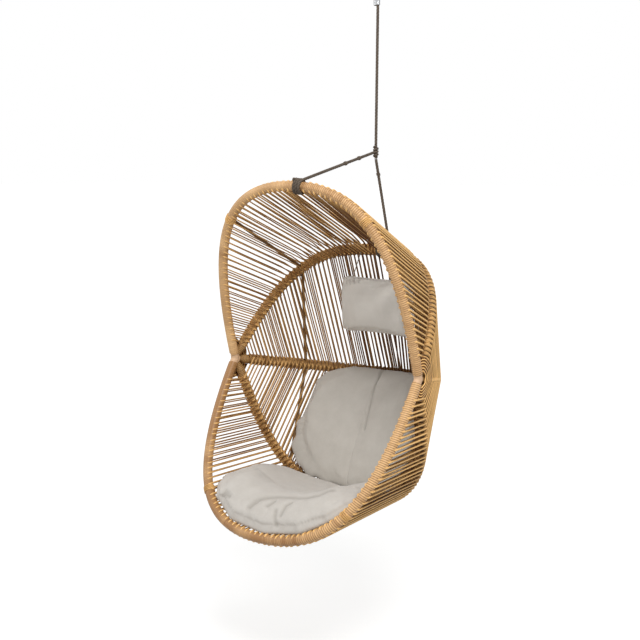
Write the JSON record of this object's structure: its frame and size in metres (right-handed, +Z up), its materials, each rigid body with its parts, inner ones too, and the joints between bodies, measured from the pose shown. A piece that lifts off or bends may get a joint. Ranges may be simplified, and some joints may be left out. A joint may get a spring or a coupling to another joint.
{
  "type": "hanging egg chair",
  "caption": "Hanging egg-shaped chair of bent rattan poles with a two-layer strand weave, seat, back and head cushions, on a rope bridle and a screw hook.",
  "frame": {"origin": "where the axis of the hook meets the ceiling, at the top of its collar", "axes": "+Z up along the hook's shank, -Y out of the open front of the chair, +X to the right seen from behind the viewer facing +Y"},
  "size_m": [0.8756, 0.8394, 2.1248],
  "materials": {
    "steel": "zinc plated",
    "rope": "laid rope, dark grey",
    "pole": "bent rattan pole, satin",
    "binding": "rattan peel wound tight, satin",
    "hub": "bare rattan, smooth",
    "strand": "rattan core strand, satin",
    "rib": "rattan cane, satin",
    "seat_fabric": "woven cloth, light grey",
    "back_fabric": "woven cloth, grey",
    "head_fabric": "woven cloth, grey",
    "tie": "cotton tape"
  },
  "bodies": {
    "hook": {"ceiling_hook": "steel"},
    "ring": {"hanging_ring": "steel"},
    "rope": {"main_rope": "rope", "eye_sleeve": "steel"},
    "chair": {"upper_ring_pole": "pole", "upper_arch_pole": "pole", "waist_pole": "pole", "lower_arch_pole": "pole", "lower_ring_pole": "pole", "upper_ring_binding": "binding", "upper_arch_binding": "binding", "waist_binding": "binding", "lower_arch_binding": "binding", "lower_ring_binding": "binding", "left_hub": "hub", "right_hub": "hub", "hood_outer_strands": "strand", "hood_inner_strands": "strand", "upper_back_outer_strands": "strand", "upper_back_inner_strands": "strand", "lower_back_outer_strands": "strand", "lower_back_inner_strands": "strand", "seat_outer_strands": "strand", "seat_inner_strands": "strand", "left_rib": "rib", "right_rib": "rib", "lumbar_bar": "rib", "front_lashing": "rope", "rear_lashing": "rope", "front_rope": "rope", "rear_rope": "rope", "bridle_knot": "rope", "seat_cushion": "seat_fabric"},
    "back_pad": {"back_cushion": "back_fabric"},
    "head_pad": {"head_cushion": "head_fabric", "head_cushion_ties": "tie"}
  },
  "joints": [
    {"name": "swing_fore_aft", "type": "hinge", "parent": "hook", "child": "ring", "pos_m": [0, 0, -0.0902], "axis": [1, 0, 0], "range_deg": [-22, 22]},
    {"name": "swing_sideways", "type": "hinge", "parent": "ring", "child": "rope", "pos_m": [0, 0, -0.13135], "axis": [0, 1, 0], "range_deg": [-22, 22]},
    {"name": "turn_on_rope", "type": "hinge", "parent": "rope", "child": "chair", "pos_m": [0, 0, -0.701], "axis": [0, 0, 1], "range_deg": [-170, 170]},
    {"name": "back_cushion_tip", "type": "hinge", "parent": "chair", "child": "back_pad", "pos_m": [-0.057, -0.093, -1.965], "axis": [1, 0, 0], "range_deg": [0, 10]},
    {"name": "head_cushion_swing", "type": "hinge", "parent": "chair", "child": "head_pad", "pos_m": [-0.081, 0.02305, -1.09373], "axis": [-0.9949, 0.058, 0.0825], "range_deg": [0, 30]}
  ]
}
